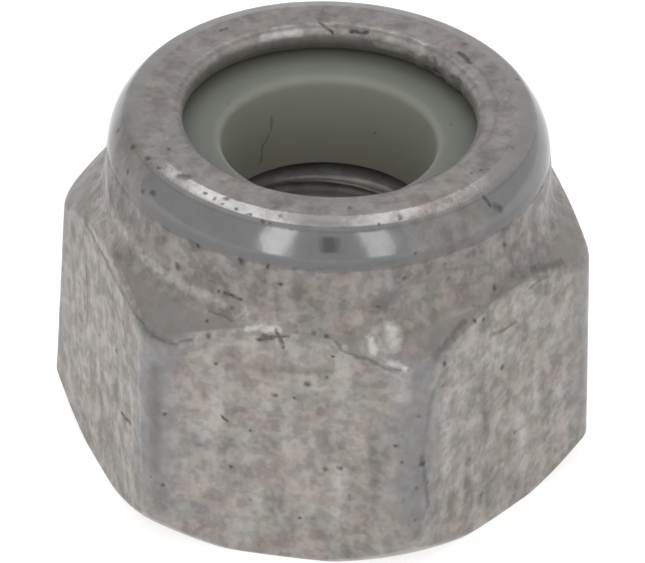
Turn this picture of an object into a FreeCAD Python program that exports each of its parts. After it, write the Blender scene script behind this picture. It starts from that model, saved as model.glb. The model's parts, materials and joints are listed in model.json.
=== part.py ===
import FreeCAD, Part
import math
import os

from FreeCAD import Vector

# A hexagon lock nut with an insert ring, size M3 x 0.5, high form.
# The origin is the centre of the bearing face, and +Z is the nut's axis, towards the ring.
# Two flats face +X and -X. Lengths are in millimetres and angles in degrees.

# Hexagon that the wrench grips
across_flats = 5.50
corner_radius_at_base = 0.10
corner_radius_at_shoulder = 0.65
bearing_face_margin = 0.04
base_chamfer_angle = 40.0

# Overall height, and the collar's share of it above the shoulder
nut_height = 4.42
collar_height = 1.11

# Shoulder: a cone from the collar's foot to just inside the flats, then a flatter one over the corners
shoulder_angle = 53.5
shoulder_fillet = 0.20
corner_cone_inset = 0.02
corner_cone_angle = 46.0

# Collar: its wall stands in from the flats, leans in, and is rolled over the ring at its rim
collar_step = 0.185
collar_draft = 4.5
collar_wall = 0.415
roll_drop = 0.475
roll_radius = 0.70
crown_inset = 0.205
crown_width = 0.18
crown_drop = 0.05

# Lip that the rolling leaves over the ring, with a rounded nose
lip_thickness = 0.37
lip_overhang = 0.445
lip_top_radius = 0.14
lip_nose_flat = 0.03
lip_bend_radius = 0.18

# Insert ring, held between the seat's floor and the lip
ring_thickness = 1.23
ring_edge_radius = 0.12

# Threaded bore, plain here at the thread's minor diameter, with the ring's bore in line
thread_minor_diameter = 2.50
countersink_width = 0.35
countersink_angle = 30.0

hexagon_sides = 6
corner_angle = 360.0 / hexagon_sides
flat_reach = across_flats / 2
corner_reach = flat_reach / math.cos(math.radians(corner_angle / 2))
shoulder_height = nut_height - collar_height
collar_radius = flat_reach - collar_step
seat_radius = collar_radius - collar_wall
ring_top = nut_height - lip_thickness
seat_floor = ring_top - ring_thickness
thread_radius = thread_minor_diameter / 2


def rise(run, angle):
    """Height gained over a horizontal run on a slope of the given angle."""
    return run * math.tan(math.radians(angle))


def corner_arc(before, corner, after, radius):
    """Arc of the given radius that rounds a corner, tangent to both sides."""
    towards_before = (before - corner).normalize()
    towards_after = (after - corner).normalize()
    half_angle = towards_before.getAngle(towards_after) / 2
    bisector = (towards_before + towards_after).normalize()
    cut_back = radius / math.tan(half_angle)
    nearest = radius / math.sin(half_angle) - radius
    return Part.Arc(
        corner + towards_before * cut_back,
        corner + bisector * nearest,
        corner + towards_after * cut_back,
    )


def bowed_arc(start, end, radius):
    """Arc of the given radius between two points, bowed to the right of the way from start to end."""
    chord = end - start
    half_chord = chord.Length / 2
    bow = radius - math.sqrt(radius**2 - half_chord**2)
    outward = chord.cross(Vector(0, -1, 0)).normalize()
    return Part.Arc(start, (start + end) / 2 + outward * bow, end)


def closed_wire(corners):
    """Closed outline through corners of (point, rounding radius, bow radius of the side that follows)."""
    points = [corner[0] for corner in corners]
    count = len(corners)
    leaves, arcs = [], []
    for i, (point, rounding, _) in enumerate(corners):
        if rounding > 0:
            arc = corner_arc(points[i - 1], point, points[(i + 1) % count], rounding)
            leaves.append((arc.StartPoint, arc.EndPoint))
            arcs.append(arc)
        else:
            leaves.append((point, point))
            arcs.append(None)
    edges = []
    for i, (_, _, bow_radius) in enumerate(corners):
        if arcs[i]:
            edges.append(arcs[i].toShape())
        start, end = leaves[i][1], leaves[(i + 1) % count][0]
        if bow_radius > 0:
            edges.append(bowed_arc(start, end, bow_radius).toShape())
        else:
            edges.append(Part.LineSegment(start, end).toShape())
    return Part.Wire(edges)


def turned(section):
    """Solid turned about the nut's axis from corners of (radius, height, rounding, bow radius)."""
    corners = [(Vector(radius, 0, height), rounding, bow) for radius, height, rounding, bow in section]
    face = Part.Face(closed_wire(corners))
    return face.revolve(Vector(0, 0, 0), Vector(0, 0, 1), 360)


def hexagon_blank():
    """Hexagonal bar, with flats facing +X and -X, whose corners are rounder the higher they are."""
    corners = []
    for i in range(hexagon_sides):
        angle = math.radians(corner_angle * (i + 0.5))
        point = Vector(corner_reach * math.cos(angle), corner_reach * math.sin(angle), 0)
        corners.append((point, 0, 0))
    bar = Part.Face(closed_wire(corners)).extrude(Vector(0, 0, nut_height))
    upright_edges = [edge for edge in bar.Edges if edge.BoundBox.ZLength > nut_height / 2]
    growth = (corner_radius_at_shoulder - corner_radius_at_base) / shoulder_height
    corner_radius_at_top = corner_radius_at_base + growth * nut_height
    return bar.makeFillet(corner_radius_at_base, corner_radius_at_top, upright_edges)


def nut_envelope():
    """Turned form of the whole nut: base chamfer, shoulder cones, rolled collar, ring seat and bore."""
    bearing_radius = flat_reach + bearing_face_margin
    base_chamfer_top = rise(corner_reach - bearing_radius, base_chamfer_angle)
    roll_start = nut_height - roll_drop
    foot_radius = collar_radius + (roll_start - shoulder_height) * math.tan(math.radians(collar_draft))
    corner_cone_radius = flat_reach - corner_cone_inset
    corner_cone_top = shoulder_height - rise(corner_cone_radius - foot_radius, shoulder_angle)
    corner_cone_foot = corner_cone_top - rise(corner_reach - corner_cone_radius, corner_cone_angle)
    crown_radius = collar_radius - crown_inset
    lip_radius = seat_radius - lip_overhang
    lip_under_radius = lip_thickness - lip_top_radius - lip_nose_flat
    countersink_radius = thread_radius + countersink_width
    countersink_depth = rise(countersink_width, countersink_angle)
    return turned([
        (thread_radius, countersink_depth, 0, 0),
        (countersink_radius, 0, 0, 0),
        (bearing_radius, 0, 0, 0),
        (corner_reach, base_chamfer_top, 0, 0),
        (corner_reach, corner_cone_foot, 0, 0),
        (corner_cone_radius, corner_cone_top, 0, 0),
        (foot_radius, shoulder_height, shoulder_fillet, 0),
        (collar_radius, roll_start, 0, roll_radius),
        (crown_radius, nut_height - crown_drop, 0, 0),
        (crown_radius - crown_width, nut_height, 0, 0),
        (lip_radius, nut_height, lip_top_radius, 0),
        (lip_radius, ring_top, lip_under_radius, 0),
        (seat_radius, ring_top, lip_bend_radius, 0),
        (seat_radius, seat_floor, 0, 0),
        (countersink_radius, seat_floor, 0, 0),
        (thread_radius, seat_floor - countersink_depth, 0, 0),
    ])


def nut_body():
    """One formed piece: the turned envelope with the six flats cut on it."""
    return nut_envelope().common(hexagon_blank())


def nylon_ring():
    """Insert ring that fills its seat up to the underside of the lip."""
    return turned([
        (thread_radius, seat_floor, 0, 0),
        (seat_radius, seat_floor, 0, 0),
        (seat_radius, ring_top, lip_bend_radius, 0),
        (thread_radius, ring_top, ring_edge_radius, 0),
    ])


os.makedirs("parts", exist_ok=True)
nut_body().exportStep("parts/nut_body.step")
nylon_ring().exportStep("parts/nylon_ring.step")
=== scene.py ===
import json
import math

import bmesh
import bpy
from mathutils import Matrix, Vector, noise
from mathutils.bvhtree import BVHTree


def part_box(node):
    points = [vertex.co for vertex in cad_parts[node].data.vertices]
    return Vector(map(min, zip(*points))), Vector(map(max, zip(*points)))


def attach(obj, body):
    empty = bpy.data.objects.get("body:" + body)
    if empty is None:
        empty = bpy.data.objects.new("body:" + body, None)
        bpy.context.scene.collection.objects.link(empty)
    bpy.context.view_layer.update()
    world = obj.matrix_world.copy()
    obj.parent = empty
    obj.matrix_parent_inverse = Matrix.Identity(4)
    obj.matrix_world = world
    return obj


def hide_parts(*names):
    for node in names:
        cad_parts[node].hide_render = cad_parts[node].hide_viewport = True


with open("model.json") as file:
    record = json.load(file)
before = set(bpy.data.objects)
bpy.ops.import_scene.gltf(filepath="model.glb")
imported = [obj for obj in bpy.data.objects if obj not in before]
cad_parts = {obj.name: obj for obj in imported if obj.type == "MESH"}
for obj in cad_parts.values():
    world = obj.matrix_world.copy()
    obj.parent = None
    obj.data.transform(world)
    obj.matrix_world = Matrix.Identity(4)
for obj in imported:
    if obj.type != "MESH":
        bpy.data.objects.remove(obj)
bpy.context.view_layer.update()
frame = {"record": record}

# Everything below is in millimetres and degrees. Each piece is shrunk to metres when it is finished.
mm = 0.001
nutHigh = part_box("nut_body")[1]
ringLow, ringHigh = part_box("nylon_ring")
boreRadius = frame["record"]["mounts"][0]["dims"]["r_mm"]
scene = bpy.context.scene

# How finely arcs are cut, and within what distance points are welded or count as level
arcs = {"step": 0.03, "fewest": 3, "degreesEach": 12}
weld = {"thread": 1e-4, "cut": 1e-6, "piece": 2e-5, "rim": 1e-3}

photo = {
    "width": 645,              # pixels
    "height": 563,
    "azimuth": -20.88,         # where the camera stands, 0 is in front of -Y
    "elevation": 34.51,
    "roll": 1.80,
    "distance": 154.0,
    "lens": 737.7,             # long lens on a 36 mm sensor
    "sensor": 36.0,
    "aimHeight": 1.815,
    "aimRight": -0.019,        # how far the aim stands off the nut's axis
    "aimUp": 0.159,
    "clipNear": 10.0,
    "clipFar": 2000.0,
}


def direction(azimuth, elevation):
    # from the nut towards an azimuth, counted from -Y, and an elevation, both in radians
    return Vector((math.sin(azimuth) * math.cos(elevation),
                   -math.cos(azimuth) * math.cos(elevation),
                   math.sin(elevation)))


def cameraAxes():
    azimuth, elevation, roll = (math.radians(photo[k]) for k in ("azimuth", "elevation", "roll"))
    back = direction(azimuth, elevation)
    level = Vector((math.cos(azimuth), math.sin(azimuth), 0))
    upright = back.cross(level)
    right = level * math.cos(roll) + upright * math.sin(roll)
    up = upright * math.cos(roll) - level * math.sin(roll)
    return right, up, back


def cameraPlace():
    right, up, back = cameraAxes()
    aim = Vector((0, 0, photo["aimHeight"])) + right * photo["aimRight"] + up * photo["aimUp"]
    return aim + back * photo["distance"]


def photoRay(x, y):
    # direction from the camera through a pixel of the photograph
    right, up, back = cameraAxes()
    focal = photo["lens"] / photo["sensor"] * photo["width"]
    across, rise = x - photo["width"] / 2, photo["height"] / 2 - y
    return (right * across / focal + up * rise / focal - back).normalized()


# The steel body
nut = {
    "sides": 6,
    "columns": 288,            # round the nut, 48 to each flat
    "cornerColumns": 6,        # of them on each half of a corner
    "easeColumns": 18,         # over which the edges grow rounder towards a corner
    "flatReach": nutHigh.x / mm,
    "height": nutHigh.z / mm,
    "seatRadius": ringHigh.x / mm,
    "seatFloor": ringLow.z / mm,
    "ringTop": ringHigh.z / mm,
    "cornerAtBase": 0.10,      # corner radii of the hexagon
    "cornerAtShoulder": 0.65,
    "bearingMargin": 0.04,
    "baseChamfer": 40.0,
    "collarHeight": 1.11,
    "shoulderAngle": 53.5,
    "shoulderFillet": 0.20,
    "coneInset": 0.02,
    "coneAngle": 46.0,
    "collarStep": 0.185,
    "collarDraft": 4.5,
    "rollDrop": 0.475,
    "rollRadius": 0.70,
    "crownInset": 0.205,
    "crownWidth": 0.18,
    "crownDrop": 0.05,
    "lipOverhang": 0.445,
    "lipTopRadius": 0.14,
    "lipUnderRadius": 0.20,
    "lipBend": 0.18,
    "crease": 0.03,            # softened edges
    "crownCrease": 0.10,
    "borderSoftness": 0.035,
    "cornerSoftness": 0.10,
    "baseSoftness": 0.8,       # of the softness at the top
    "chamferInset": 0.004,
    "rollSteps": 12,
    "rowStep": 0.05,
    "borderRounds": 30,        # of working out where two surfaces meet
    "stageDrop": 0.4,          # between the stages' rows before they are pressed into place
    "rowDrop": 0.001,
}
thread = {
    "pitch": 0.50,
    "depth": 0.25,
    "crest": 0.125,
    "flankAngle": 60.0,
    "rowsOnCrest": 2,
    "rowsOnFlank": 4,
    "spareTurns": 2,
    "turnsBelow": 1.5,
    "columns": 192,
    "countersinkWidth": 0.35,
    "countersinkAngle": 30.0,
    "start": 205.0,            # where the crest leaves the upper countersink
    "rimWidth": 0.06,          # of the flat rims that are bridged to the mouths
}


def slope(angle):
    return math.tan(math.radians(angle))


nut["shoulder"] = nut["height"] - nut["collarHeight"]
nut["halfFlat"] = nut["columns"] // (2 * nut["sides"])
nut["halfAngle"] = 180 / nut["sides"]
nut["cornerReach"] = nut["flatReach"] / math.cos(math.radians(nut["halfAngle"]))
nut["collarRadius"] = nut["flatReach"] - nut["collarStep"]
nut["rollStart"] = nut["height"] - nut["rollDrop"]
nut["footRadius"] = nut["collarRadius"] + (nut["rollStart"] - nut["shoulder"]) * slope(nut["collarDraft"])
nut["coneRadius"] = nut["flatReach"] - nut["coneInset"]
nut["coneTop"] = nut["shoulder"] - (nut["coneRadius"] - nut["footRadius"]) * slope(nut["shoulderAngle"])
nut["crownRadius"] = nut["collarRadius"] - nut["crownInset"]
nut["lipRadius"] = nut["seatRadius"] - nut["lipOverhang"]
nut["bearingRadius"] = nut["flatReach"] + nut["bearingMargin"]
thread["mouth"] = boreRadius + thread["countersinkWidth"]
thread["rim"] = thread["mouth"] + thread["rimWidth"]


def bowed(start, end, radius, steps):
    # points of an arc that bulges to the left of the way from start to end
    chord = end - start
    middle = (start + end) / 2
    outward = Vector((-chord.y, chord.x)).normalized()
    centre = middle - outward * math.sqrt(radius**2 - (chord.length / 2) ** 2)
    first, turn = start - centre, (end - centre).angle_signed(start - centre)
    return [centre + Matrix.Rotation(turn * i / steps, 2) @ first for i in range(1, steps)]


def rounded(corners):
    # section through corners of (radius, height, rounding), with the corners as arcs in short steps
    line = []
    for i, (x, y, rounding) in enumerate(corners):
        point = Vector((x, y))
        if rounding == 0 or i in (0, len(corners) - 1):
            line.append(point)
            continue
        before = (Vector(corners[i - 1][:2]) - point).normalized()
        after = (Vector(corners[i + 1][:2]) - point).normalized()
        half = before.angle(after) / 2
        cut = rounding / math.tan(half)
        centre = point + (before + after).normalized() * rounding / math.sin(half)
        first, last = point + before * cut - centre, point + after * cut - centre
        turn = last.angle_signed(first)
        byLength = abs(turn) * rounding / arcs["step"]
        byTurn = abs(math.degrees(turn)) / arcs["degreesEach"]
        steps = max(arcs["fewest"], round(byLength), round(byTurn))
        line += [centre + Matrix.Rotation(turn * j / steps, 2) @ first for j in range(steps + 1)]
    return line


def inSteps(line, step):
    # the line's points, with more set between those that are far apart
    points = [line[0]]
    for a, b in zip(line, line[1:]):
        cuts = max(1, round((b - a).length / step))
        points += [a.lerp(b, i / cuts) for i in range(1, cuts + 1)]
    return points


def collarSection():
    # from the seat's floor over the lip and the rolled edge down to the shoulder's cone
    top, crownHeight = nut["height"], nut["height"] - nut["crownDrop"]
    rollTop = Vector((nut["crownRadius"], crownHeight))
    rollFoot = Vector((nut["collarRadius"], nut["rollStart"]))
    corners = [
        (thread["rim"], nut["seatFloor"], 0),
        (nut["seatRadius"], nut["seatFloor"], nut["crease"]),
        (nut["seatRadius"], nut["ringTop"], nut["lipBend"]),
        (nut["lipRadius"], nut["ringTop"], nut["lipUnderRadius"]),
        (nut["lipRadius"], top, nut["lipTopRadius"]),
        (nut["crownRadius"] - nut["crownWidth"], top, nut["crease"] * 2),
        (rollTop.x, rollTop.y, nut["crownCrease"]),
    ]
    corners += [(p.x, p.y, 0) for p in bowed(rollTop, rollFoot, nut["rollRadius"], nut["rollSteps"])]
    corners += [
        (rollFoot.x, rollFoot.y, 0),
        (nut["footRadius"], nut["shoulder"], nut["shoulderFillet"]),
        (nut["coneRadius"], nut["coneTop"], 0),
    ]
    return inSteps(rounded(corners), nut["rowStep"])


def spinLine(bm, verts, steps, climb=0.0, merge=True):
    # joins the points into a line and turns it once about the axis
    for a, b in zip(verts, verts[1:]):
        bm.edges.new((a, b))
    bmesh.ops.spin(bm, geom=bm.verts[:] + bm.edges[:], cent=(0, 0, 0), axis=(0, 0, 1),
                   dvec=(0, 0, climb / steps), angle=math.tau, steps=steps, use_merge=merge)


# The stages of the hexagon's part, from the upper cone down to the bearing face, and the rows of each
hexStages = {"cone": 10, "topEdge": 5, "flat": 74, "bottomEdge": 4, "chamfer": 4, "bearing": 8}


def hexPoint(column, height):
    # a point of the hexagon's outline at a height, in the frame of its nearest flat
    n, c = nut["halfFlat"], nut["cornerColumns"]
    radius = nut["cornerAtBase"] + (nut["cornerAtShoulder"] - nut["cornerAtBase"]) * height / nut["shoulder"]
    tangent = (nut["flatReach"] - radius) * slope(nut["halfAngle"])
    if abs(column) <= n - c:
        return Vector((nut["flatReach"], tangent * column / (n - c)))
    turn = math.radians(nut["halfAngle"]) * (abs(column) - (n - c)) / c
    side = 1 if column > 0 else -1
    return Vector((nut["flatReach"] - radius + radius * math.cos(turn),
                   side * (tangent + radius * math.sin(turn))))


def coneHeight(radius):
    return nut["coneTop"] - (radius - nut["coneRadius"]) * slope(nut["coneAngle"])


def baseHeight(radius):
    return max(0, (radius - nut["bearingRadius"]) * slope(nut["baseChamfer"]))


def borderHeight(column, meets):
    # the height at which the hexagon meets the cone above it or the chamfer below it
    height = 0
    for _ in range(nut["borderRounds"]):
        height = meets(hexPoint(column, height).length)
    return height


def softnessAt(column):
    # edges are rounder on the corners than on the flats
    n, ease = nut["halfFlat"], nut["easeColumns"]
    nearness = max(0, min(1, (abs(column) - (n - ease)) / ease))
    return nut["borderSoftness"] + (nut["cornerSoftness"] - nut["borderSoftness"]) * nearness**2


def softened(reach, soft):
    # how far out the slanted side still runs before it is rounded into the flat
    return reach - min(soft, (reach - nut["coneRadius"]) / 2)


def hexRow(column, stage, share, borders):
    # a point of the hexagon's rows, as its place in the frame of its flat and its height
    high, low = borders[column]
    topSoft = softnessAt(column)
    lowSoft = topSoft * nut["baseSoftness"]
    corner = hexPoint(column, high)
    if stage == "cone":
        radius = nut["coneRadius"] + (softened(corner.length, topSoft) - nut["coneRadius"]) * share
        return corner.normalized() * radius, coneHeight(radius)
    if stage in ("topEdge", "bottomEdge"):
        if stage == "topEdge":
            meets, edge, soft, start, t = coneHeight, high, topSoft, high - topSoft, share
        else:
            meets, edge, soft, start, t = baseHeight, low, lowSoft, low + lowSoft, 1 - share
        at = hexPoint(column, edge)
        slant = softened(at.length, soft)
        onSlant = (at.normalized() * slant).to_3d() + Vector((0, 0, meets(slant)))
        onFlat = hexPoint(column, start).to_3d() + Vector((0, 0, start))
        middle = at.to_3d() + Vector((0, 0, edge))
        point = onSlant * (1 - t) ** 2 + middle * 2 * t * (1 - t) + onFlat * t**2
        return point.xy, point.z
    if stage == "flat":
        height = (high - topSoft) * (1 - share) + (low + lowSoft) * share
        return hexPoint(column, height), height
    at = hexPoint(column, low)
    slant = softened(at.length, lowSoft)
    foot = min(nut["bearingRadius"], slant) - nut["chamferInset"]
    if stage == "chamfer":
        radius = slant + (foot - slant) * share
        return at.normalized() * radius, baseHeight(radius)
    radius = foot + (thread["rim"] - foot) * share
    return at.normalized() * radius, 0


def spinBody():
    # the collar's rows at their places, and the hexagon's rows parked below them
    bm = bmesh.new()
    stageOf = bm.verts.layers.int.new("stage")
    shareOf = bm.verts.layers.float.new("share")
    names = list(hexStages)
    rows = [(p.x, p.y, 0, 0) for p in collarSection()]
    for number, name in enumerate(names, 1):
        for i in range(1, hexStages[name] + 1):
            parked = nut["shoulder"] - number * nut["stageDrop"] - i * nut["rowDrop"]
            rows.append((nut["cornerReach"], parked, number, i / hexStages[name]))
    verts = []
    for x, z, stage, share in rows:
        vert = bm.verts.new((x, 0, z))
        vert[stageOf], vert[shareOf] = stage, share
        verts.append(vert)
    spinLine(bm, verts, nut["columns"])
    return bm, stageOf, shareOf, names


def columnOf(vert):
    # a point's column, counted from the middle of its flat, and the number of that flat
    column = round(math.atan2(vert.co.y, vert.co.x) / math.tau * nut["columns"])
    flat = round(column / (2 * nut["halfFlat"]))
    return column - flat * 2 * nut["halfFlat"], flat


def pressHexagon(bm, stageOf, shareOf, names):
    n = nut["halfFlat"]
    borders = {c: (borderHeight(c, coneHeight), borderHeight(c, baseHeight)) for c in range(-n, n + 1)}
    for vert in bm.verts:
        if vert[stageOf] == 0:
            continue
        column, flat = columnOf(vert)
        place, height = hexRow(column, names[vert[stageOf] - 1], vert[shareOf], borders)
        place = Matrix.Rotation(math.radians(2 * nut["halfAngle"] * flat), 2) @ place
        vert.co = (place.x, place.y, height)


def threadSection():
    # one turn of the thread as (height, radius), crest first
    flank = thread["depth"] * slope(thread["flankAngle"] / 2)
    root = thread["pitch"] - thread["crest"] - 2 * flank
    major = boreRadius + thread["depth"]
    marks = [(0, boreRadius), (thread["crest"], boreRadius), (thread["crest"] + flank, major),
             (thread["crest"] + flank + root, major), (thread["pitch"], boreRadius)]
    cuts = [thread["rowsOnCrest"], thread["rowsOnFlank"]] * 2
    points = []
    for (z0, r0), (z1, r1), n in zip(marks, marks[1:], cuts):
        points += [(z0 + (z1 - z0) * i / n, r0 + (r1 - r0) * i / n) for i in range(n)]
    return points


def cutThread():
    # a helical wall: one upright section is spun once and climbs a pitch, so its turns join up
    bm = bmesh.new()
    pitch, top = thread["pitch"], nut["seatFloor"]
    turns = math.ceil(top / pitch) + thread["spareTurns"]
    section = threadSection()
    verts = []
    for turn in range(turns):
        verts += [bm.verts.new((r, 0, z + (turn - thread["turnsBelow"]) * pitch)) for z, r in section]
    spinLine(bm, verts, thread["columns"], climb=pitch, merge=False)
    bmesh.ops.remove_doubles(bm, verts=bm.verts, dist=weld["thread"])
    turned = Matrix.Rotation(math.radians(thread["start"]), 3, "Z")
    bmesh.ops.rotate(bm, verts=bm.verts, cent=(0, 0, 0), matrix=turned)
    sink = slope(thread["countersinkAngle"])
    for vert in bm.verts:
        opened = thread["mouth"] - min(vert.co.z, top - vert.co.z) / sink
        radius = max(vert.co.xy.length, opened)
        vert.co.xy = vert.co.xy.normalized() * radius
    for level, side in ((0, -1), (top, 1)):
        bmesh.ops.bisect_plane(bm, geom=bm.verts[:] + bm.edges[:] + bm.faces[:], dist=weld["cut"],
                               plane_co=(0, 0, level), plane_no=(0, 0, side), clear_outer=True)
    return bm


def joinInto(bm, other):
    mesh = bpy.data.meshes.new("joined")
    other.to_mesh(mesh)
    other.free()
    bm.from_mesh(mesh)
    bpy.data.meshes.remove(mesh)


def closeRims(bm, levels):
    # bridges the thread's two rims to the seat's floor and to the bearing face
    for level in levels:
        rims = [edge for edge in bm.edges if edge.is_boundary
                and all(abs(vert.co.z - level) < weld["rim"] for vert in edge.verts)]
        bmesh.ops.bridge_loops(bm, edges=rims)


def placeMesh(bm, name, material):
    mesh = bpy.data.meshes.new(name)
    bm.to_mesh(mesh)
    bm.free()
    mesh.materials.append(material)
    thing = bpy.data.objects.new(name, mesh)
    scene.collection.objects.link(thing)
    return thing


def finishPiece(bm, name, material, node):
    bmesh.ops.remove_doubles(bm, verts=bm.verts, dist=weld["piece"])
    bmesh.ops.recalc_face_normals(bm, faces=bm.faces)
    bmesh.ops.scale(bm, verts=bm.verts, vec=(mm, mm, mm))
    for face in bm.faces:
        face.smooth = True
    loose = sum(not edge.is_manifold for edge in bm.edges)
    piece = placeMesh(bm, name, material)
    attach(piece, "root")
    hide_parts(node)
    print(name, len(piece.data.polygons), "faces,", loose, "open edges")


# Marks of use, painted highlights and painted shade, placed by the pixels at which the photograph shows them:
# (x, y, size), or (x, y, size, x2, y2) for a line between two pixels
pixelSize = photo["distance"] * photo["sensor"] / photo["lens"] / photo["width"]
wear = {
    "pits": [
        (265, 337, 8), (257, 340, 4, 273, 339), (276, 330, 5, 283, 347), (270, 337, 4, 289, 337),
        (314, 333, 6), (327, 336, 6), (308, 385, 7), (275, 395, 6), (294, 398, 4), (325, 378, 5),
        (332, 356, 5), (165, 414, 5), (216, 364, 5), (222, 416, 4, 227, 421), (250, 431, 4),
        (231, 467, 5), (299, 518, 5), (163, 485, 5), (121, 413, 5, 130, 423), (110, 367, 5),
        (116, 350, 5), (92, 424, 5), (396, 446, 6), (401, 462, 5), (422, 464, 8), (444, 362, 5),
        (503, 366, 8), (326, 469, 7), (340, 468, 7), (504, 245, 8), (495, 206, 9, 500, 209),
        (484, 198, 6, 490, 204), (495, 288, 7), (475, 321, 6), (483, 320, 5), (445, 364, 5),
        (178, 266, 9), (199, 246, 5), (241, 261, 7), (268, 267, 6), (219, 292, 5),
        (226, 294, 5, 241, 299),
        (207, 322, 5), (209, 336, 7), (153, 193, 7), (416, 254, 4), (281, 284, 6), (474, 320, 6),
        (221, 30, 6, 226, 29), (319, 23, 4, 333, 32), (352, 31, 5, 368, 32), (464, 44, 6),
        (222, 204, 4), (236, 209, 5), (247, 214, 4, 250, 215), (262, 221, 5), (214, 199, 4), (270, 222, 4),
        # the last three marks on this line and the first on the next are painted shadow beside the torn lip;
        # the rest are pits
        (380, 224, 4), (400, 218, 4), (425, 66, 6, 438, 73), (440, 77, 7, 452, 84), (454, 90, 6, 462, 99),
        (459, 53, 6, 470, 62), (517, 79, 6), (471, 173, 5), (481, 170, 4), (281, 216, 5), (350, 208, 5),
        (118, 130, 7), (133, 147, 8), (147, 158, 7), (128, 172, 6), (168, 149, 6), (180, 176, 8, 187, 178),
        (143, 192, 6), (105, 152, 6), (158, 168, 5), (112, 178, 5), (206, 194, 5), (226, 199, 5),
    ],
    # scratches, and painted shade: the dark arc under the cone by corner B, from (334, 342) to (464, 322)
    "scratches": [
        (334, 342, 5, 347, 353), (347, 353, 5, 368, 360), (368, 360, 5, 384, 369), (384, 369, 3, 408, 371),
        (434, 357, 7, 464, 322), (494, 335, 5, 516, 323),
        (533, 271, 9, 563, 262), (422, 458, 6, 428, 506), (133, 212, 3, 129, 227),
        (86, 255, 4, 88, 320), (107, 285, 5, 112, 300), (123, 322, 5, 125, 334), (117, 283, 4, 134, 312),
        (134, 312, 4, 152, 335), (152, 335, 4, 170, 344), (170, 344, 4, 192, 341),
        (86, 223, 4, 117, 283), (530, 287, 5, 548, 276), (205, 308, 3, 232, 320),
    ],
    # partly brown stains in the wide upright strokes on the flats, partly painted shade along the lip's
    # crease, the band's foot, corner B's right edge, below the middle flat's border, on the band's far left
    # and across the crown between its highlights
    "faint": [
        (459, 53, 5, 486, 76), (486, 76, 5, 497, 104), (497, 104, 5, 494, 131), (494, 131, 5, 478, 152),
        (268, 268, 4, 330, 268), (330, 268, 4, 395, 262), (480, 375, 12, 487, 440), (512, 360, 12, 506, 420),
        (540, 345, 12, 545, 420), (447, 370, 7, 433, 393), (433, 393, 7, 427, 427), (427, 427, 7, 422, 460),
        (86, 223, 9, 117, 283), (117, 283, 9, 134, 312), (134, 312, 9, 152, 335), (152, 335, 9, 172, 344),
        (230, 366, 9, 330, 372), (122, 122, 26, 118, 188), (118, 188, 26, 137, 232),
        (302, 223, 9, 348, 225), (468, 440, 10, 466, 500), (155, 370, 12, 155, 470), (372, 440, 12, 376, 500),
    ],
    # partly rubbed metal, partly painted highlights: the light line along the left ridge and the patches
    # beside corner B
    "bright": [
        (138, 345, 3, 141, 470), (127, 238, 10, 160, 271), (160, 271, 10, 188, 288), (188, 288, 9, 224, 304),
        (106, 165, 12, 108, 206), (108, 206, 12, 121, 228), (121, 228, 11, 140, 252),
        (140, 252, 10, 162, 276),
        (70, 250, 9, 74, 330), (445, 400, 14, 447, 470), (215, 395, 14, 218, 440), (96, 300, 10, 98, 380),
        (520, 420, 14, 524, 470), (338, 470, 12, 340, 520), (92, 222, 24, 106, 250),
        (100, 200, 18, 112, 236), (371, 344, 22, 380, 348), (401, 376, 16, 402, 398),
    ],
    # painted highlights on the land behind the lip, on the middle flat's upper border and beside corner B
    "glints": [
        (264, 37, 9, 300, 33), (376, 45, 7, 422, 57), (248, 329, 7, 262, 327), (262, 328, 7, 280, 331),
        (392, 331, 16, 395, 343), (370, 339, 8, 374, 352), (390, 362, 7, 404, 369),
    ],
    # painted shade: dark patches on the band's far left and beside the torn lip
    "stains": [(120, 150, 62), (148, 180, 40), (121, 205, 46), (452, 90, 30)],
    "dull": [(448, 226, 104), (128, 162, 108), (395, 335, 76)],
    "ragged": (440, 68, 60),   # where the lip's edge is torn, and how wide
}
unevenness = {
    "clearOfThread": 0.1,      # nothing is moved nearer to the bore than this
    "clearOfFloor": 0.02,
    "swellScale": 1.3,
    "swellDepth": 0.006,
    "rippleScale": 4.0,
    "rippleDepth": 0.003,
    "rippleShift": (7, 3, 5),
    "tearDepth": 0.06,
    "tearRise": 3,             # how fast the tear deepens from its ends
    "tearWidth": 0.22,         # from the lip's edge outwards
    "tearAboveRing": 0.05,
    "tearScale": 5.0,
    "tearFineScale": 13.0,
    "tearFineShare": 0.4,
}


def touched(tree3d, x, y):
    # the point of the piece that a pixel of the photograph shows
    return tree3d.ray_cast(cameraPlace(), photoRay(x, y))[0]


def strokesOn(bm, marks):
    # each mark as a short line on the surface: (start, end, width)
    tree3d = BVHTree.FromBMesh(bm)
    strokes = []
    for mark in marks:
        start = touched(tree3d, *mark[:2])
        end = touched(tree3d, *mark[3:]) if len(mark) > 3 else start
        if start is None or end is None:
            print("no surface under the mark at", mark[:2])
            continue
        strokes.append((start, end, mark[2] * pixelSize / 2))
    return strokes


def biteAt(place):
    # how deep the lip is torn: broad bites run from top to bottom, fine ones don't
    flat = Vector((place.x, place.y, 0))
    fine = noise.noise(place * unevenness["tearFineScale"])
    return noise.noise(flat * unevenness["tearScale"]) + unevenness["tearFineShare"] * fine


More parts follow.
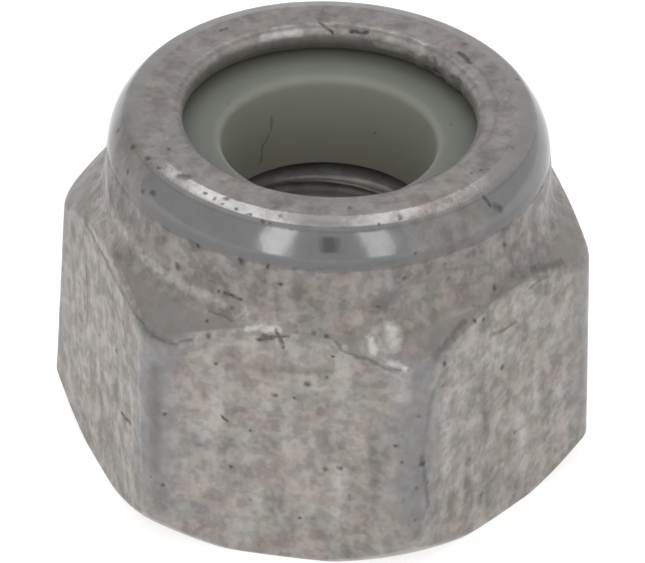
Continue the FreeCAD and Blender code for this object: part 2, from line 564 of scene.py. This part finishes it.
def roughen(bm):
    # shallow unevenness all over, and the lip's torn edge
    tree3d = BVHTree.FromBMesh(bm)
    torn = touched(tree3d, *wear["ragged"][:2])
    tornReach = wear["ragged"][2] * pixelSize
    shift = Vector(unevenness["rippleShift"])
    bm.normal_update()
    for vert in bm.verts:
        place = vert.co
        out = place.xy.length
        if out < thread["mouth"] + unevenness["clearOfThread"] or place.z < unevenness["clearOfFloor"]:
            continue
        swell = noise.noise(place * unevenness["swellScale"]) * unevenness["swellDepth"]
        swell += noise.noise(place * unevenness["rippleScale"] + shift) * unevenness["rippleDepth"]
        vert.co = place + vert.normal * min(swell, 0.0)
        tear = 1 - (place - torn).length / tornReach
        if tear > 0 and place.z > nut["ringTop"] + unevenness["tearAboveRing"]:
            lip = max(0, 1 - (place.xy.length - nut["lipRadius"]) / unevenness["tearWidth"])
            bite = biteAt(place) * unevenness["tearDepth"] * lip * min(1, tear * unevenness["tearRise"])
            vert.co += place.xy.normalized().to_3d() * bite


# The zones that are painted on the points, from 0 to 1
zoneNames = ("corner", "cone", "flat", "border", "base")


def paintZones(bm, stageOf, shareOf, names):
    # how far each point belongs to the corners, cones, flats, their upper borders and the base's edge
    n, c = nut["halfFlat"], nut["cornerColumns"]
    zones = {name: bm.verts.layers.float.new(name) for name in zoneNames}
    for vert in bm.verts:
        stage = names[vert[stageOf] - 1] if vert[stageOf] else "turned"
        vert[zones["corner"]] = (abs(columnOf(vert)[0]) - (n - c)) / c
        vert[zones["cone"]] = float(stage == "cone")
        vert[zones["flat"]] = float(stage in ("flat", "topEdge", "bottomEdge", "chamfer", "bearing"))
        vert[zones["base"]] = float(stage in ("bottomEdge", "chamfer"))
        if stage == "topEdge":
            vert[zones["border"]] = 1 - abs(vert[shareOf] - 0.5)


# Materials
def feed(tree, node, inputs):
    # sets a node's inputs, to values or to the outputs of other nodes
    for name, value in inputs.items():
        if isinstance(value, bpy.types.NodeSocket):
            tree.links.new(value, node.inputs[name])
        else:
            node.inputs[name].default_value = value


def put(tree, kind, inputs=None, **settings):
    node = tree.nodes.new("ShaderNode" + kind)
    for name, value in settings.items():
        setattr(node, name, value)
    feed(tree, node, inputs or {})
    return node


def calc(tree, operation, *values):
    return put(tree, "Math", dict(enumerate(values)), operation=operation).outputs[0]


def times(tree, *values):
    product = values[0]
    for value in values[1:]:
        product = calc(tree, "MULTIPLY", product, value)
    return product


def vectorCalc(tree, operation, *values):
    node = put(tree, "VectorMath", dict(enumerate(values)), operation=operation)
    return node.outputs["Value" if operation in ("DISTANCE", "LENGTH", "DOT_PRODUCT") else "Vector"]


def fade(tree, value, start, end, low=0.0, high=1.0):
    # eased from low at start to high at end
    settings = {"Value": value, "From Min": start, "From Max": end, "To Min": low, "To Max": high}
    return put(tree, "MapRange", settings, interpolation_type="SMOOTHSTEP").outputs["Result"]


def lineAt(tree, value, level, width):
    # 1 where the value is at the level, and nothing a width away from it
    off = calc(tree, "ABSOLUTE", calc(tree, "SUBTRACT", value, level))
    return fade(tree, off, width, 0.0)


def blend(tree, factor, a, b, way="MIX"):
    return put(tree, "Mix", {0: factor, 6: a, 7: b}, data_type="RGBA", blend_type=way).outputs[2]


def blendValue(tree, factor, a, b):
    return put(tree, "Mix", {0: factor, 2: a, 3: b}, data_type="FLOAT").outputs[0]


def newGroup(name, output="Mask", **inputs):
    # a node group that takes a position and the given inputs, vectors where their value is one
    tree = bpy.data.node_groups.new(name, "ShaderNodeTree")
    for key, value in {"Position": (0, 0, 0), **inputs}.items():
        kind = "NodeSocketVector" if isinstance(value, tuple) else "NodeSocketFloat"
        tree.interface.new_socket(name=key, in_out="INPUT", socket_type=kind).default_value = value
    tree.interface.new_socket(name=output, in_out="OUTPUT", socket_type="NodeSocketFloat")
    return tree, tree.nodes.new("NodeGroupInput").outputs, tree.nodes.new("NodeGroupOutput").inputs[output]


effects = {
    "cloudRoughness": 0.55,
    "speckLeast": 0.35,        # the smallest specks, as a share of the given radius
    "speckCore": 0.2,          # the share of a speck that is quite dark
    "wobbleDetail": 2.0,
}


def cloudGroup():
    # soft blotches of a given size; Spread sets how hard their edges are
    tree, given, out = newGroup("cloud", Size=0.3, Spread=0.25, Detail=3.0)
    scale = calc(tree, "DIVIDE", 1.0, given["Size"])
    field = put(tree, "TexNoise", {"Vector": given["Position"], "Scale": scale, "Detail": given["Detail"],
                                   "Roughness": effects["cloudRoughness"]}).outputs["Fac"]
    low = calc(tree, "SUBTRACT", 0.5, given["Spread"])
    high = calc(tree, "ADD", 0.5, given["Spread"])
    tree.links.new(fade(tree, field, low, high), out)
    return tree


def speckGroup():
    # small round pits, in a share of the cells of a grid of the given spacing
    tree, given, out = newGroup("specks", Spacing=0.3, Share=0.3, Radius=0.2)
    scale = calc(tree, "DIVIDE", 1.0, given["Spacing"])
    cells = put(tree, "TexVoronoi", {"Vector": given["Position"], "Scale": scale})
    chance = put(tree, "SeparateColor", {"Color": cells.outputs["Color"]}).outputs
    kept = calc(tree, "LESS_THAN", chance["Red"], given["Share"])
    radius = times(tree, given["Radius"], calc(tree, "ADD", chance["Green"], effects["speckLeast"]))
    dot = fade(tree, cells.outputs["Distance"], radius, times(tree, radius, effects["speckCore"]))
    tree.links.new(times(tree, dot, kept), out)
    return tree


def spotGroup():
    # how many widths a point lies from a spot
    tree, given, out = newGroup("spot", "Widths", Centre=(0, 0, 0), Width=0.03)
    distance = vectorCalc(tree, "DISTANCE", given["Position"], given["Centre"])
    tree.links.new(calc(tree, "DIVIDE", distance, given["Width"]), out)
    return tree


def strokeGroup():
    # how many widths a point lies from the line between two points
    tree, given, out = newGroup("stroke", "Widths", From=(0, 0, 0), To=(0, 0, 0), Width=0.03)
    way = vectorCalc(tree, "SUBTRACT", given["To"], given["From"])
    off = vectorCalc(tree, "SUBTRACT", given["Position"], given["From"])
    length2 = vectorCalc(tree, "DOT_PRODUCT", way, way)
    share = calc(tree, "DIVIDE", vectorCalc(tree, "DOT_PRODUCT", off, way), length2)
    share = put(tree, "Clamp", {"Value": share}).outputs[0]
    nearest = put(tree, "VectorMath", {0: way, "Scale": share}, operation="SCALE").outputs["Vector"]
    distance = vectorCalc(tree, "DISTANCE", off, nearest)
    tree.links.new(calc(tree, "DIVIDE", distance, given["Width"]), out)
    return tree


groups = {"cloud": cloudGroup(), "specks": speckGroup(), "spot": spotGroup(), "stroke": strokeGroup()}


def effect(tree, name, **values):
    node = put(tree, "Group", node_tree=groups[name])
    feed(tree, node, values)
    return node.outputs[0]


def marksMask(tree, position, strokes, outer, inner):
    # 1 on every mark, from its inner share of the width, and nothing past the outer one
    nearest = outer
    for start, end, width in strokes:
        if start == end:
            widths = effect(tree, "spot", Position=position, Centre=start, Width=width)
        else:
            widths = effect(tree, "stroke", Position=position, From=start, To=end, Width=width)
        nearest = calc(tree, "MINIMUM", nearest, widths)
    return fade(tree, nearest, outer, inner)


def newMaterial(name):
    material = bpy.data.materials.new(name)
    material.use_nodes = True
    return material, material.node_tree, material.node_tree.nodes["Principled BSDF"]


def placeOnPiece(tree):
    # the place on the piece in millimetres, and its height and its distance from the axis
    place = put(tree, "VectorMath", {0: put(tree, "TexCoord").outputs["Object"], "Scale": 1 / mm},
                operation="SCALE").outputs["Vector"]
    height = put(tree, "SeparateXYZ", {0: place}).outputs["Z"]
    radius = vectorCalc(tree, "LENGTH", vectorCalc(tree, "MULTIPLY", place, (1, 1, 0)))
    return place, height, radius


def uneven(tree, position, size, amount):
    # the position, shifted a little by noise, so that what is drawn with it gets ragged edges
    wobble = put(tree, "TexNoise", {"Vector": position, "Scale": 1 / size,
                                    "Detail": effects["wobbleDetail"]}).outputs["Color"]
    off = vectorCalc(tree, "SUBTRACT", wobble, (0.5, 0.5, 0.5))
    return vectorCalc(tree, "MULTIPLY_ADD", off, (amount, amount, amount), position)


# The finish of each zone, from the general one to the most special
steelZones = {
    "wall": {"colour": (0.236, 0.219, 0.207), "mottle": 0.27, "roughness": 0.44},
    "land": {"colour": (0.228, 0.214, 0.208), "mottle": 0.23, "roughness": 0.40},
    "underLip": {"colour": (0.290, 0.266, 0.243), "mottle": 0.12, "roughness": 0.70},
    "nose": {"colour": (0.325, 0.307, 0.292), "mottle": 0.18, "roughness": 0.60},
    "crown": {"colour": (0.225, 0.220, 0.217), "mottle": 0.08, "roughness": 0.23},
    "band": {"colour": (0.190, 0.190, 0.192), "mottle": 0.04, "roughness": 0.13},
    "cone": {"colour": (0.222, 0.209, 0.197), "mottle": 0.10, "roughness": 0.38},
    "flat": {"colour": (0.318, 0.297, 0.280), "mottle": 0.25, "roughness": 0.50},
    "corner": {"colour": (0.236, 0.231, 0.229), "mottle": 0.13, "roughness": 0.38},
    "bore": {"colour": (0.410, 0.397, 0.376), "mottle": 0.10, "roughness": 0.60},
    # painted shade: the upper countersink, which lies in the ring's shadow
    "mouth": {"colour": (0.250, 0.243, 0.232), "mottle": 0.10, "roughness": 0.75},
}
steelLook = {
    "zoneEdge": 0.015,         # half of the width over which one finish runs into the next
    "raggedEdge": 0.07,
    "landRadius": nut["crownRadius"] - nut["crownWidth"],
    "noseReach": 0.35,         # of the rounding on the lip's upper side
    "noseDepth": 0.75,         # of the rounding on its under side
    "crownEdge": 0.03,         # how far below the crown's outer edge its finish ends
    "cornerFade": (0.1, 1.1),
    "cornerWander": 0.6,
    "cornerFoot": (0.35, 1.1, 0.25, 1.0),  # the heights between which the corners' finish grows
    "boreRadius": 1.64,        # the bore's finish ends here on the seat's floor
    "mouthDepth": 0.19,        # the upper countersink, darkened with painted shade where it lies in the ring's shadow
    # painted shade: dark lines along the crown's crease and the band's foot, and the band's lower part darker
    "creaseWidth": 0.022,
    "bandFootDrop": 0.03,
    "bandFootWidth": 0.035,
    "bandLow": (0.15, 0.05),   # above the band's foot, where its lower part darkens
    "upright": 0.40,           # how far blotches are drawn out upright
    "toneStrength": 2.4,
    "toneRoughness": 0.8,
    "sootRoughness": 0.2,
    "grainShare": 0.6,
    "reliefFade": (0.02, 0.25, 0.05, 1.0),
    "relief": 0.003,
    "markSize": 0.13,          # raggedness of the marks
    "markShift": 0.09,
    "patchSize": 0.35,         # raggedness of the larger patches
    "patchShift": 0.30,
    "dullShare": 0.65,         # how far the band's polish is worn off in its dull places
    "stainShare": 2.0,
    "stainCloud": {"Size": 0.30, "Spread": 0.12},
    "specks": {"Spacing": 0.17, "Share": 0.22, "Radius": 0.24},
    "specksFade": (0.7, 0.3, 0.25, 1.0),
    "borderFade": (0.3, 0.7, 0.2, 1.0),
    # rubbed metal, and painted highlights on the left ridge, beside corner B and on the base's edge
    "rubbed": (0.50, 0.475, 0.455, 1),
    "glint": (0.66, 0.65, 0.63, 1),
    "border": (0.130, 0.128, 0.126, 1),
    # painted shade in the crown's crease, at the band's foot and on the band's lower part
    "crease": (0.090, 0.088, 0.088, 1),
    # grime in the specks, and painted shade in the faint strokes
    "grime": (0.095, 0.085, 0.078, 1),
    # scratches, and painted shade in the dark arc under the cone by corner B
    "groove": (0.105, 0.102, 0.102, 1),
    # pits, and painted shadow beside the torn lip
    "pit": (0.070, 0.060, 0.056, 1),
}
steelLook["noseRadius"] = nut["lipRadius"] + nut["lipTopRadius"] * steelLook["noseReach"]
steelLook["noseFoot"] = nut["ringTop"] + nut["lipUnderRadius"] * steelLook["noseDepth"]
steelClouds = {
    "wander": {"Size": 0.22, "Spread": 0.5},
    "streak": {"Size": 0.25, "Spread": 0.16, "Detail": 2.0},
    "blotch": {"Size": 0.30, "Spread": 0.16, "Detail": 3.0},
    "flake": {"Size": 0.14, "Spread": 0.10, "Detail": 2.0},
    "fine": {"Size": 0.07, "Spread": 0.30},
}
steelTone = {"streak": 0.27, "blotch": 0.35, "flake": 0.30, "fine": 0.05}
steelStains = {
    "rust": {"tint": (1.0, 0.90, 0.87, 1), "shift": (5, 2, 1)},
    "moss": {"tint": (0.93, 1.0, 0.92, 1), "shift": (1, 7, 4)},
    "temper": {"tint": (0.94, 0.98, 1.06, 1), "shift": (3, 8, 2)},
}

# Each kind of mark: the widths at which it ends and is full, and the cloud that breaks it up
markLooks = {
    "pits": {"ends": (1.5, 0.1), "cloud": "fine", "broken": (0.0, 0.7, 0.55, 1.0)},
    "scratches": {"ends": (1.5, 0.1)},
    "faint": {"ends": (1.8, 0.0)},
    "bright": {"ends": (1.8, 0.0), "cloud": "fine", "broken": (0.0, 0.8, 0.5, 1.0)},
    "glints": {"ends": (1.5, 0.2), "cloud": "fine", "broken": (0.0, 0.6, 0.6, 1.0)},
    "stains": {"ends": (1.4, 0.2), "cloud": "blotch", "broken": (0.0, 1.0, 0.5, 1.0)},
    "dull": {"ends": (1.3, 0.4)},
}

# What lies over the steel's tone, the lowest first: how strong it is, and its colour in steelLook
steelLayers = {
    # partly rubbed metal, partly painted highlights
    "bright": (0.42, "rubbed"),
    # painted highlights
    "glints": (0.48, "glint"),
    "border": (0.50, "border"),
    # painted highlight: the base's edge made lighter where it catches the floor's light
    "base": (0.60, "rubbed"),
    # painted shade in the crown's crease, at the band's foot and on the band's lower part
    "crownCrease": (0.28, "crease"),
    "bandFoot": (0.40, "crease"),
    "bandLow": (0.32, "crease"),
    # partly stains, partly painted shade
    "faint": (0.30, "grime"),
    # painted shade
    "stains": (0.55, "border"),
    "specks": (0.42, "grime"),
    # scratches, and painted shade lines
    "scratches": (0.60, "groove"),
    # pits, and painted shadow beside the torn lip
    "pits": (0.80, "pit"),
}


def zoneMasks(tree, height, radius, wander):
    # where each finish and each line between them lies, as masks by name
    soft, rollStart = steelLook["zoneEdge"], nut["rollStart"]
    sway = times(tree, calc(tree, "SUBTRACT", wander, 0.5), steelLook["raggedEdge"])
    ragged = calc(tree, "ADD", height, sway)
    crown = nut["height"] - nut["crownDrop"] - steelLook["crownEdge"]
    seen = {name: put(tree, "Attribute", attribute_name=name).outputs["Fac"] for name in zoneNames}

    def over(value, level):
        return fade(tree, value, level - soft, level + soft)

    def under(value, level):
        return fade(tree, value, level + soft, level - soft)

    onLand = times(tree, under(radius, steelLook["landRadius"]), over(height, nut["ringTop"]))
    outside = over(radius, steelLook["landRadius"])
    spread = calc(tree, "ADD", seen["corner"], times(tree, wander, steelLook["cornerWander"]))
    inBore = times(tree, under(radius, steelLook["boreRadius"]), under(height, nut["seatFloor"] + soft))
    masks = {
        "land": onLand,
        "underLip": times(tree, onLand, under(height, steelLook["noseFoot"])),
        "nose": times(tree, under(radius, steelLook["noseRadius"]), over(height, steelLook["noseFoot"])),
        "crown": times(tree, outside, over(height, crown)),
        "band": times(tree, outside, over(ragged, rollStart - soft), under(height, crown)),
        "cone": seen["cone"],
        "flat": seen["flat"],
        "corner": times(tree, seen["flat"], fade(tree, spread, *steelLook["cornerFade"]),
                        fade(tree, height, *steelLook["cornerFoot"])),
        "bore": inBore,
        "mouth": times(tree, inBore, over(height, nut["seatFloor"] - steelLook["mouthDepth"])),
    }
    # painted shade along the band's foot, the crown's crease and the band's lower part
    foot = lineAt(tree, ragged, rollStart - steelLook["bandFootDrop"], steelLook["bandFootWidth"])
    lowEnd, lowStart = (rollStart + above for above in steelLook["bandLow"])
    lines = {
        "crownCrease": times(tree, lineAt(tree, height, crown, steelLook["creaseWidth"]), outside),
        "bandFoot": times(tree, foot, outside),
        "bandLow": times(tree, masks["band"], fade(tree, height, lowEnd, lowStart)),
        "border": seen["border"],
        "base": seen["base"],
    }
    return masks, lines


def makeSteel(strokes):
    material, tree, bsdf = newMaterial("wornSteel")
    position, height, radius = placeOnPiece(tree)
    drawn = vectorCalc(tree, "MULTIPLY", position, (1, 1, steelLook["upright"]))
    clouds = {}
    for name, settings in steelClouds.items():
        where = drawn if name == "streak" else position
        clouds[name] = effect(tree, "cloud", Position=where, **settings)
    masks, layers = zoneMasks(tree, height, radius, clouds["wander"])

    # marks of use, painted highlights and painted shade, with ragged edges
    torn = uneven(tree, position, steelLook["markSize"], steelLook["markShift"])
    drifted = uneven(tree, position, steelLook["patchSize"], steelLook["patchShift"])
    for kind, look in markLooks.items():
        where = drifted if kind in ("stains", "dull") else torn
        layers[kind] = marksMask(tree, where, strokes[kind], *look["ends"])
        if "cloud" in look:
            layers[kind] = times(tree, layers[kind], fade(tree, clouds[look["cloud"]], *look["broken"]))
    layers["border"] = times(tree, layers["border"], fade(tree, clouds["blotch"], *steelLook["borderFade"]))

    # the zones' finishes; polished ones are worn off where the surface is dull
    kept = calc(tree, "SUBTRACT", 1.0, times(tree, layers["dull"], steelLook["dullShare"]))
    for name in ("crown", "band", "cone"):
        masks[name] = times(tree, masks[name], kept)
    general = steelZones["wall"]
    colour, mottle, rough = (*general["colour"], 1), general["mottle"], general["roughness"]
    for name, mask in masks.items():
        zone = steelZones[name]
        colour = blend(tree, mask, colour, (*zone["colour"], 1))
        mottle = blendValue(tree, mask, mottle, zone["mottle"])
        rough = blendValue(tree, mask, rough, zone["roughness"])

    # lighter and darker blotches
    tone = 0.0
    for name, weight in steelTone.items():
        tone = calc(tree, "ADD", tone, times(tree, clouds[name], weight))
    off = calc(tree, "SUBTRACT", tone, 0.5)
    lift = calc(tree, "ADD", 1.0, times(tree, off, mottle, steelLook["toneStrength"]))
    shade = put(tree, "CombineColor", {0: lift, 1: lift, 2: lift}).outputs[0]
    colour = blend(tree, 1.0, colour, shade, "MULTIPLY")

    # rusty, greenish and bluish stains all over
    for stain in steelStains.values():
        shifted = vectorCalc(tree, "ADD", position, stain["shift"])
        share = times(tree, effect(tree, "cloud", Position=shifted, **steelLook["stainCloud"]), mottle,
                      steelLook["stainShare"])
        colour = blend(tree, share, colour, stain["tint"], "MULTIPLY")

    # dirt in specks, pits and scratches, darker along the flats' upper borders, painted shade in creases,
    # dark patches and lines, and rubbed metal and painted highlights where it is lighter
    layers["specks"] = times(tree, effect(tree, "specks", Position=torn, **steelLook["specks"]),
                             calc(tree, "SUBTRACT", 1.0, masks["band"]),
                             fade(tree, clouds["blotch"], *steelLook["specksFade"]))
    for name, (share, tint) in steelLayers.items():
        colour = blend(tree, times(tree, layers[name], share), colour, steelLook[tint])

    sooty = calc(tree, "MAXIMUM", layers["pits"], layers["specks"])
    rough = calc(tree, "SUBTRACT", rough, times(tree, off, mottle, steelLook["toneRoughness"]))
    rough = calc(tree, "ADD", rough, times(tree, sooty, steelLook["sootRoughness"]))
    grain = times(tree, calc(tree, "SUBTRACT", clouds["fine"], 0.5), steelLook["grainShare"])
    relief = times(tree, calc(tree, "ADD", grain, off), fade(tree, mottle, *steelLook["reliefFade"]))
    bump = put(tree, "Bump", {"Strength": 1.0, "Distance": steelLook["relief"] * mm, "Height": relief})
    feed(tree, bsdf, {
        "Base Color": colour,
        "Metallic": 1.0,
        "Roughness": rough,
        "Normal": bump.outputs["Normal"],
    })
    return material


bodyMesh, stageOf, shareOf, stageNames = spinBody()
pressHexagon(bodyMesh, stageOf, shareOf, stageNames)
paintZones(bodyMesh, stageOf, shareOf, stageNames)
print("body pressed")
joinInto(bodyMesh, cutThread())
closeRims(bodyMesh, (0, nut["seatFloor"]))
print("thread cut")
steel = makeSteel({kind: strokesOn(bodyMesh, wear[kind]) for kind in markLooks})
roughen(bodyMesh)
finishPiece(bodyMesh, "nutBody", steel, "nut_body")

# The nylon ring
ring = {
    "columns": 192,
    "rowStep": 0.06,
    "edge": 0.13,
    "footOuter": 0.02,         # roundings at the seat's floor
    "footInner": 0.03,
    "hair": 0.004,             # room that keeps its hidden faces off the body's
    "topColour": (0.200, 0.212, 0.186),
    "boreColour": (0.356, 0.371, 0.320),
    "boreEdge": 0.8,           # of the edge's rounding, over which one colour runs into the other
    # painted shade: the bore's wall darker and warmer towards its bottom
    "lowColour": (0.270, 0.255, 0.200),
    "lowShare": 0.45,
    "hazeTint": (0.90, 0.90, 0.89, 1),
    "hazeShare": 0.5,
    "hazeCloud": {"Size": 0.5, "Spread": 0.3},
    # painted shade: a dark rim on the ring beside the lip, where the lip overhangs it
    "dirtColour": (0.075, 0.070, 0.050, 1),
    "dirtWidth": 0.34,         # a dark rim beside the lip
    "dirtUnderLip": 1 / 3,     # of that width
    "dirtShare": 0.30,
    "pits": {"Spacing": 0.3, "Share": 0.2, "Radius": 0.08},
    "markColour": (0.060, 0.060, 0.045, 1),
    "markShare": 0.45,
    "markDepth": 1.5,
    "roughness": (0.56, 0.66),
    "depthWeight": 0.25,       # light that passes under the surface
    "depthRadius": (0.4, 0.4, 0.3),
    "grainCloud": {"Size": 0.12, "Spread": 0.5},
    "grainShare": 0.6,
    "relief": 0.004,
    "scratch": [(271, 118, 3, 271, 131), (271, 131, 3, 263, 146), (263, 146, 3, 260, 165)],
    "specks": [(229, 105, 4), (451, 124, 4)],
}


def spinRing():
    bm = bmesh.new()
    r, out = boreRadius, nut["seatRadius"] - ring["hair"]
    low, high = nut["seatFloor"] + ring["hair"], nut["ringTop"] - ring["hair"]
    middle = (r, (low + high) / 2, 0)
    corners = [middle, (r, high, ring["edge"]), (out, high, nut["lipBend"]),
               (out, low, ring["footOuter"]), (r, low, ring["footInner"]), middle]
    line = inSteps(rounded(corners), ring["rowStep"])
    verts = [bm.verts.new((p.x, 0, p.y)) for p in line[:-1]]
    spinLine(bm, verts + verts[:1], ring["columns"])
    return bm


def makeNylon(strokes):
    material, tree, bsdf = newMaterial("naturalNylon")
    position, height, radius = placeOnPiece(tree)
    haze = effect(tree, "cloud", Position=position, **ring["hazeCloud"])
    inside = fade(tree, radius, boreRadius + ring["edge"] * ring["boreEdge"], boreRadius)
    colour = blend(tree, inside, (*ring["topColour"], 1), (*ring["boreColour"], 1))
    # painted shade: the bore's wall darker and warmer towards its bottom
    low = fade(tree, height, nut["ringTop"] - ring["edge"], nut["seatFloor"])
    colour = blend(tree, times(tree, low, inside, ring["lowShare"]), colour, (*ring["lowColour"], 1))
    colour = blend(tree, times(tree, haze, ring["hazeShare"]), colour, ring["hazeTint"], "MULTIPLY")
    # painted shade beside the lip
    lipShadeStart = nut["lipRadius"] - ring["dirtWidth"]
    lipShadeEnd = nut["lipRadius"] + ring["dirtWidth"] * ring["dirtUnderLip"]
    lipShade = times(tree, fade(tree, radius, lipShadeStart, lipShadeEnd), ring["dirtShare"])
    colour = blend(tree, lipShade, colour, ring["dirtColour"])
    pits = effect(tree, "specks", Position=position, **ring["pits"])
    torn = uneven(tree, position, steelLook["markSize"], steelLook["markShift"])
    marks = calc(tree, "MAXIMUM", marksMask(tree, torn, strokes, *markLooks["scratches"]["ends"]), pits)
    colour = blend(tree, times(tree, marks, ring["markShare"]), colour, ring["markColour"])
    grain = times(tree, effect(tree, "cloud", Position=position, **ring["grainCloud"]), ring["grainShare"])
    relief = calc(tree, "SUBTRACT", grain, times(tree, marks, ring["markDepth"]))
    bump = put(tree, "Bump", {"Strength": 1.0, "Distance": ring["relief"] * mm, "Height": relief})
    feed(tree, bsdf, {
        "Base Color": colour,
        "Roughness": blendValue(tree, haze, *ring["roughness"]),
        "Normal": bump.outputs["Normal"],
        "Subsurface Weight": ring["depthWeight"],
        "Subsurface Radius": [reach * mm for reach in ring["depthRadius"]],
        "Subsurface Scale": 1.0,
    })
    return material


ringMesh = spinRing()
nylon = makeNylon(strokesOn(ringMesh, ring["scratch"] + ring["specks"]))
finishPiece(ringMesh, "nylonRing", nylon, "nylon_ring")

# Where each lamp stands, seen from the nut, azimuths counted from the camera, and how large it looks
lamps = {
    "left": {"azimuth": -25.0, "elevation": 22.0, "width": 14.0, "height": 52.0, "radiance": 1.75},
    "right": {"azimuth": 27.0, "elevation": 22.0, "width": 13.6, "height": 48.0, "radiance": 1.2},
    "rearLeft": {"azimuth": -157.0, "elevation": 61.0, "width": 8.0, "height": 24.0, "radiance": 3.0},
    "rearRight": {"azimuth": 161.0, "elevation": 61.0, "width": 7.5, "height": 24.0, "radiance": 2.6},
}
studio = {
    "lampDistance": 250.0,
    "skyForLooks": 1.0,        # what the camera and shiny things see
    "skyForLight": 0.6,
    "white": (1, 1, 1, 1),
}
paperFloor = {
    "radius": 60.0,
    "sides": 96,
    "colour": (0.86, 0.86, 0.86, 1),
    "roughness": 0.9,
    "shine": 0.1,
    "glow": 0.55,
}

# The dark opening in the light tent that the lens looks through
darkOpening = {
    "azimuth": 1.6,
    "elevation": 25.0,
    "width": 8.5,
    "height": 30.0,
    "distance": 200.0,
    "colour": (0.02, 0.02, 0.02, 1),
    "glow": 0.45,
}


def standing(spec, distance):
    # where a thing stands, how it faces the nut, and how wide and high it is to look as large as said
    away = direction(math.radians(photo["azimuth"] + spec["azimuth"]), math.radians(spec["elevation"]))
    place = Vector((0, 0, nut["height"] / 2)) + away * distance
    width, height = (2 * distance * slope(spec[side] / 2) for side in ("width", "height"))
    return place, away.to_track_quat("Z", "Y"), width, height


def makeLamp(name, spec):
    place, facing, width, height = standing(spec, studio["lampDistance"])
    data = bpy.data.lights.new(name, "AREA")
    data.shape = "RECTANGLE"
    data.size, data.size_y = width * mm, height * mm
    data.energy = spec["radiance"] * math.pi * data.size * data.size_y
    lamp = bpy.data.objects.new(name, data)
    lamp.location = place * mm
    lamp.rotation_mode = "QUATERNION"
    lamp.rotation_quaternion = facing
    scene.collection.objects.link(lamp)


def makeOpening():
    # a black card that only reflections see
    place, facing, width, height = standing(darkOpening, darkOpening["distance"])
    bm = bmesh.new()
    bmesh.ops.create_grid(bm, x_segments=1, y_segments=1, size=0.5)
    bmesh.ops.scale(bm, verts=bm.verts, vec=(width, height, 1))
    bmesh.ops.transform(bm, verts=bm.verts, matrix=facing.to_matrix().to_4x4())
    bmesh.ops.translate(bm, verts=bm.verts, vec=place)
    bmesh.ops.scale(bm, verts=bm.verts, vec=(mm, mm, mm))
    material, tree, card = newMaterial("blackCard")
    feed(tree, card, {
        "Base Color": darkOpening["colour"],
        "Emission Color": studio["white"],
        "Emission Strength": darkOpening["glow"],
        "Specular IOR Level": 0.0,
    })
    opening = placeMesh(bm, "opening", material)
    opening.visible_camera = False
    opening.visible_diffuse = False
    opening.visible_shadow = False


def seenDirectly(tree):
    # 1 for rays of the camera, of reflections and of glass
    path = put(tree, "LightPath").outputs
    direct = calc(tree, "MAXIMUM", path["Is Camera Ray"], path["Is Glossy Ray"])
    return calc(tree, "MAXIMUM", direct, path["Is Transmission Ray"])


def makeSky():
    world = bpy.data.worlds.new("studio")
    scene.world = world
    world.use_nodes = True
    tree = world.node_tree
    strength = blendValue(tree, seenDirectly(tree), studio["skyForLight"], studio["skyForLooks"])
    feed(tree, tree.nodes["Background"], {"Color": studio["white"], "Strength": strength})


def makeFloor():
    bm = bmesh.new()
    bmesh.ops.create_circle(bm, cap_ends=True, segments=paperFloor["sides"], radius=paperFloor["radius"] * mm)
    material, tree, paper = newMaterial("whitePaper")
    feed(tree, paper, {
        "Base Color": paperFloor["colour"],
        "Roughness": paperFloor["roughness"],
        "Specular IOR Level": paperFloor["shine"],
        "Emission Color": studio["white"],
        "Emission Strength": calc(tree, "MULTIPLY", seenDirectly(tree), paperFloor["glow"]),
    })
    floor = placeMesh(bm, "floor", material)


def makeCamera():
    data = bpy.data.cameras.new("photoCamera")
    data.lens, data.sensor_width = photo["lens"], photo["sensor"]
    data.clip_start, data.clip_end = photo["clipNear"] * mm, photo["clipFar"] * mm
    camera = bpy.data.objects.new("photoCamera", data)
    facing = Matrix(cameraAxes()).transposed().to_4x4()
    camera.matrix_world = Matrix.Translation(cameraPlace() * mm) @ facing
    scene.collection.objects.link(camera)
    scene.camera = camera


for name, spec in lamps.items():
    makeLamp("softbox_" + name, spec)
makeSky()
makeOpening()
makeFloor()
makeCamera()
scene.view_settings.view_transform = "Standard"
print("stage set")
